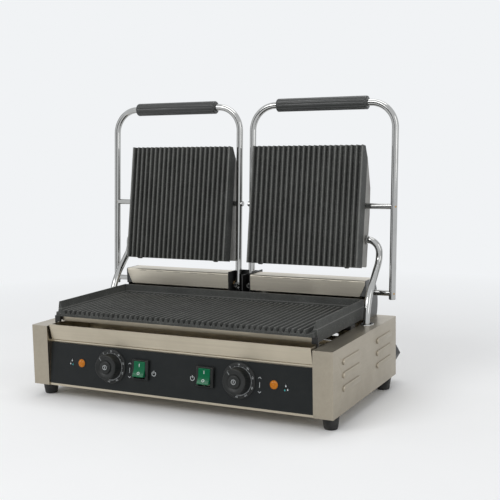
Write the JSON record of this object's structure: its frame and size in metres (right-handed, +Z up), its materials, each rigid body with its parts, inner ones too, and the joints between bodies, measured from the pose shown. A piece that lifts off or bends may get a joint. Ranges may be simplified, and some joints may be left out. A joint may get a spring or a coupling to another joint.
{
  "type": "contact grill",
  "caption": "Double ribbed contact grill: two upper plates on swing-down handles over one ribbed griddle, with a drip tray and front controls in a steel housing.",
  "frame": {"origin": "centre of the overall box in plan, at the underside of the feet", "axes": "+X to the right seen from the front, +Y to the back, +Z up"},
  "size_m": [0.5888, 0.3626, 0.5173],
  "materials": {
    "stainless": "satin brushed",
    "griddle_iron": "matt enamelled casting",
    "plate_iron": "matt enamelled casting",
    "plate_cover": "satin grey lacquer",
    "chrome": "polished",
    "grip_black": "satin moulded",
    "knob_black": "satin moulded",
    "overlay_black": "satin printed film",
    "switch_black": "moulded",
    "rocker_green": "moulded, lit",
    "lens_amber": "clear moulded",
    "foot_rubber": "matt",
    "bracket_black": "powder coated",
    "ear_grey": "satin painted",
    "element_steel": "heat darkened",
    "insulation": "fibre board",
    "spring_steel": "oiled",
    "bush_bronze": "sintered",
    "screw_zinc": "zinc plated",
    "gland_black": "moulded",
    "terminal_white": "moulded",
    "thermostat_metal": "pressed"
  },
  "bodies": {
    "housing": {"body_screws": "screw_zinc", "bottom_cover": "stainless", "conduit_guides": "chrome", "cord_gland": "gland_black", "dial_bezel_left": "knob_black", "dial_bezel_right": "knob_black", "feet": "foot_rubber", "front_panel": "stainless", "gland_nut": "gland_black", "heater_pan": "stainless", "hinge_beam": "bracket_black", "hinge_bracket": "bracket_black", "hinge_bushes": "bush_bronze", "hinge_cover_left": "stainless", "hinge_cover_right": "stainless", "hinge_ear_left": "ear_grey", "hinge_ear_right": "ear_grey", "insulation_pad": "insulation", "lamp_bodies": "switch_black", "lamp_lenses": "lens_amber", "lower_heaters": "element_steel", "lower_plate": "griddle_iron", "panel_overlay": "overlay_black", "plate_brackets": "bracket_black", "rear_panel": "stainless", "side_box_left": "stainless", "side_box_right": "stainless", "switch_housing_left": "switch_black", "switch_housing_right": "switch_black", "terminal_block": "terminal_white", "thermostat_left": "thermostat_metal", "thermostat_right": "thermostat_metal", "torsion_springs": "spring_steel"},
    "tray": {"drip_tray": "stainless"},
    "knob_left": {"knob_left": "knob_black", "thermostat_shaft_left": "spring_steel"},
    "rocker_left": {"rocker_left": "rocker_green"},
    "lift_frame_left": {"handle_frame_left": "chrome", "grip_left": "grip_black", "hinge_shaft_left": "chrome", "hinge_screw_left": "chrome", "plate_pins_left": "chrome"},
    "upper_plate_left": {"upper_plate_left": "plate_iron", "upper_cover_left": "plate_cover", "upper_heater_left": "element_steel", "cover_screws_left": "screw_zinc"},
    "conduit_left": {"conduit_left": "chrome"},
    "knob_right": {"knob_right": "knob_black", "thermostat_shaft_right": "spring_steel"},
    "rocker_right": {"rocker_right": "rocker_green"},
    "lift_frame_right": {"handle_frame_right": "chrome", "grip_right": "grip_black", "hinge_shaft_right": "chrome", "hinge_screw_right": "chrome", "plate_pins_right": "chrome"},
    "upper_plate_right": {"upper_plate_right": "plate_iron", "upper_cover_right": "plate_cover", "upper_heater_right": "element_steel", "cover_screws_right": "screw_zinc"},
    "conduit_right": {"conduit_right": "chrome"}
  },
  "joints": [
    {"name": "drip_tray_slide", "type": "slide", "parent": "housing", "child": "tray", "axis": [0, -1, 0], "range_m": [0, 0.1]},
    {"name": "thermostat_knob_left_turn", "type": "hinge", "parent": "housing", "child": "knob_left", "pos_m": [-0.1225, -0.15918, 0.0662], "axis": [0, 0.9937, -0.1125], "range_deg": [0, 222]},
    {"name": "power_switch_left_rock", "type": "hinge", "parent": "housing", "child": "rocker_left", "pos_m": [-0.062, -0.16115, 0.06663], "axis": [1, 0, 0], "range_deg": [0, 24]},
    {"name": "lid_left_hinge", "type": "hinge", "parent": "housing", "child": "lift_frame_left", "pos_m": [0, 0.10704, 0.1737], "axis": [1, 0, 0], "range_deg": [0, 88.5], "stiffness_Nm_per_rad": 3, "springref_deg": -11.46},
    {"name": "plate_left_tilt", "type": "hinge", "parent": "lift_frame_left", "child": "upper_plate_left", "pos_m": [0, 0.11664, 0.325], "axis": [1, 0, 0], "range_deg": [0, 11]},
    {"name": "conduit_left_swivel", "type": "hinge", "parent": "upper_plate_left", "child": "conduit_left", "pos_m": [0, 0.11525, 0.26564], "axis": [1, 0, 0], "range_deg": [-45, 0]},
    {"name": "thermostat_knob_right_turn", "type": "hinge", "parent": "housing", "child": "knob_right", "pos_m": [0.1225, -0.15918, 0.0662], "axis": [0, 0.9937, -0.1125], "range_deg": [0, 222]},
    {"name": "power_switch_right_rock", "type": "hinge", "parent": "housing", "child": "rocker_right", "pos_m": [0.062, -0.16115, 0.06663], "axis": [1, 0, 0], "range_deg": [0, 24]},
    {"name": "lid_right_hinge", "type": "hinge", "parent": "housing", "child": "lift_frame_right", "pos_m": [0, 0.10704, 0.1737], "axis": [1, 0, 0], "range_deg": [0, 88.5], "stiffness_Nm_per_rad": 3, "springref_deg": -11.46},
    {"name": "plate_right_tilt", "type": "hinge", "parent": "lift_frame_right", "child": "upper_plate_right", "pos_m": [0, 0.11664, 0.325], "axis": [1, 0, 0], "range_deg": [0, 11]},
    {"name": "conduit_right_swivel", "type": "hinge", "parent": "upper_plate_right", "child": "conduit_right", "pos_m": [0, 0.11525, 0.26564], "axis": [1, 0, 0], "range_deg": [-45, 0]}
  ],
  "couplings": [
    {"joint": "plate_left_tilt", "follows": "lid_left_hinge", "ratio": 0.12181},
    {"joint": "conduit_left_swivel", "follows": "lid_left_hinge", "ratio": -0.5},
    {"joint": "plate_right_tilt", "follows": "lid_right_hinge", "ratio": 0.12181},
    {"joint": "conduit_right_swivel", "follows": "lid_right_hinge", "ratio": -0.5}
  ]
}
